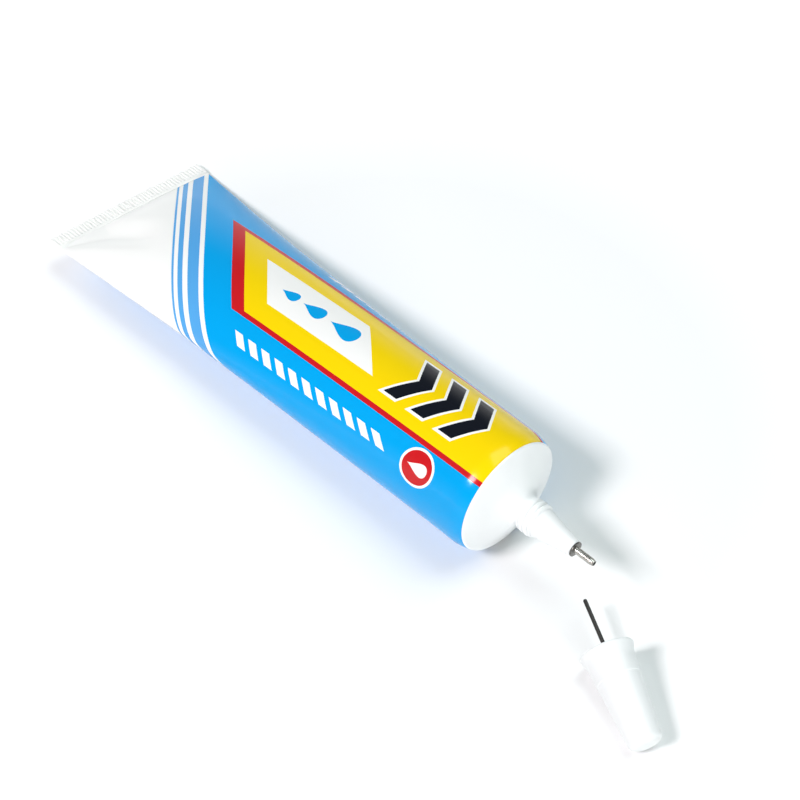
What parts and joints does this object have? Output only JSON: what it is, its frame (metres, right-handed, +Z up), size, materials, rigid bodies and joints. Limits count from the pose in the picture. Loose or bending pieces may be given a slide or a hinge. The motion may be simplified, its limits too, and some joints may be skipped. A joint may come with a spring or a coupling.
{
  "type": "adhesive squeeze tube",
  "caption": "Laminate squeeze tube with a crimped tail, threaded neck, tapered nozzle and steel needle tip, lying beside its screw cap, whose pin keeps the needle clear.",
  "frame": {"origin": "on the table, in the flattened patch of the sleeve's belly, 50 mm behind the rim", "axes": "+X from the crimped tail towards the nozzle as seen from above, +Z up from the table"},
  "size_m": [0.1915, 0.0466, 0.0302],
  "materials": {
    "printed_laminate": "glossy printed laminate",
    "white_moulding": "moulded polyethylene, satin",
    "needle_steel": "plated steel tube",
    "pin_steel": "drawn steel wire",
    "adhesive": "clear contact adhesive"
  },
  "bodies": {
    "tube": {"tube_sleeve": "printed_laminate", "tube_shoulder": "white_moulding", "nozzle_cone": "white_moulding", "needle_tip": "needle_steel", "adhesive_fill": "adhesive"},
    "cap": {"screw_cap": "white_moulding", "cap_pin": "pin_steel"}
  },
  "joints": [
    {"name": "cap_lift", "type": "slide", "parent": "tube", "child": "cap", "axis": [0, 0, 1], "range_m": [0, 0.06]}
  ]
}
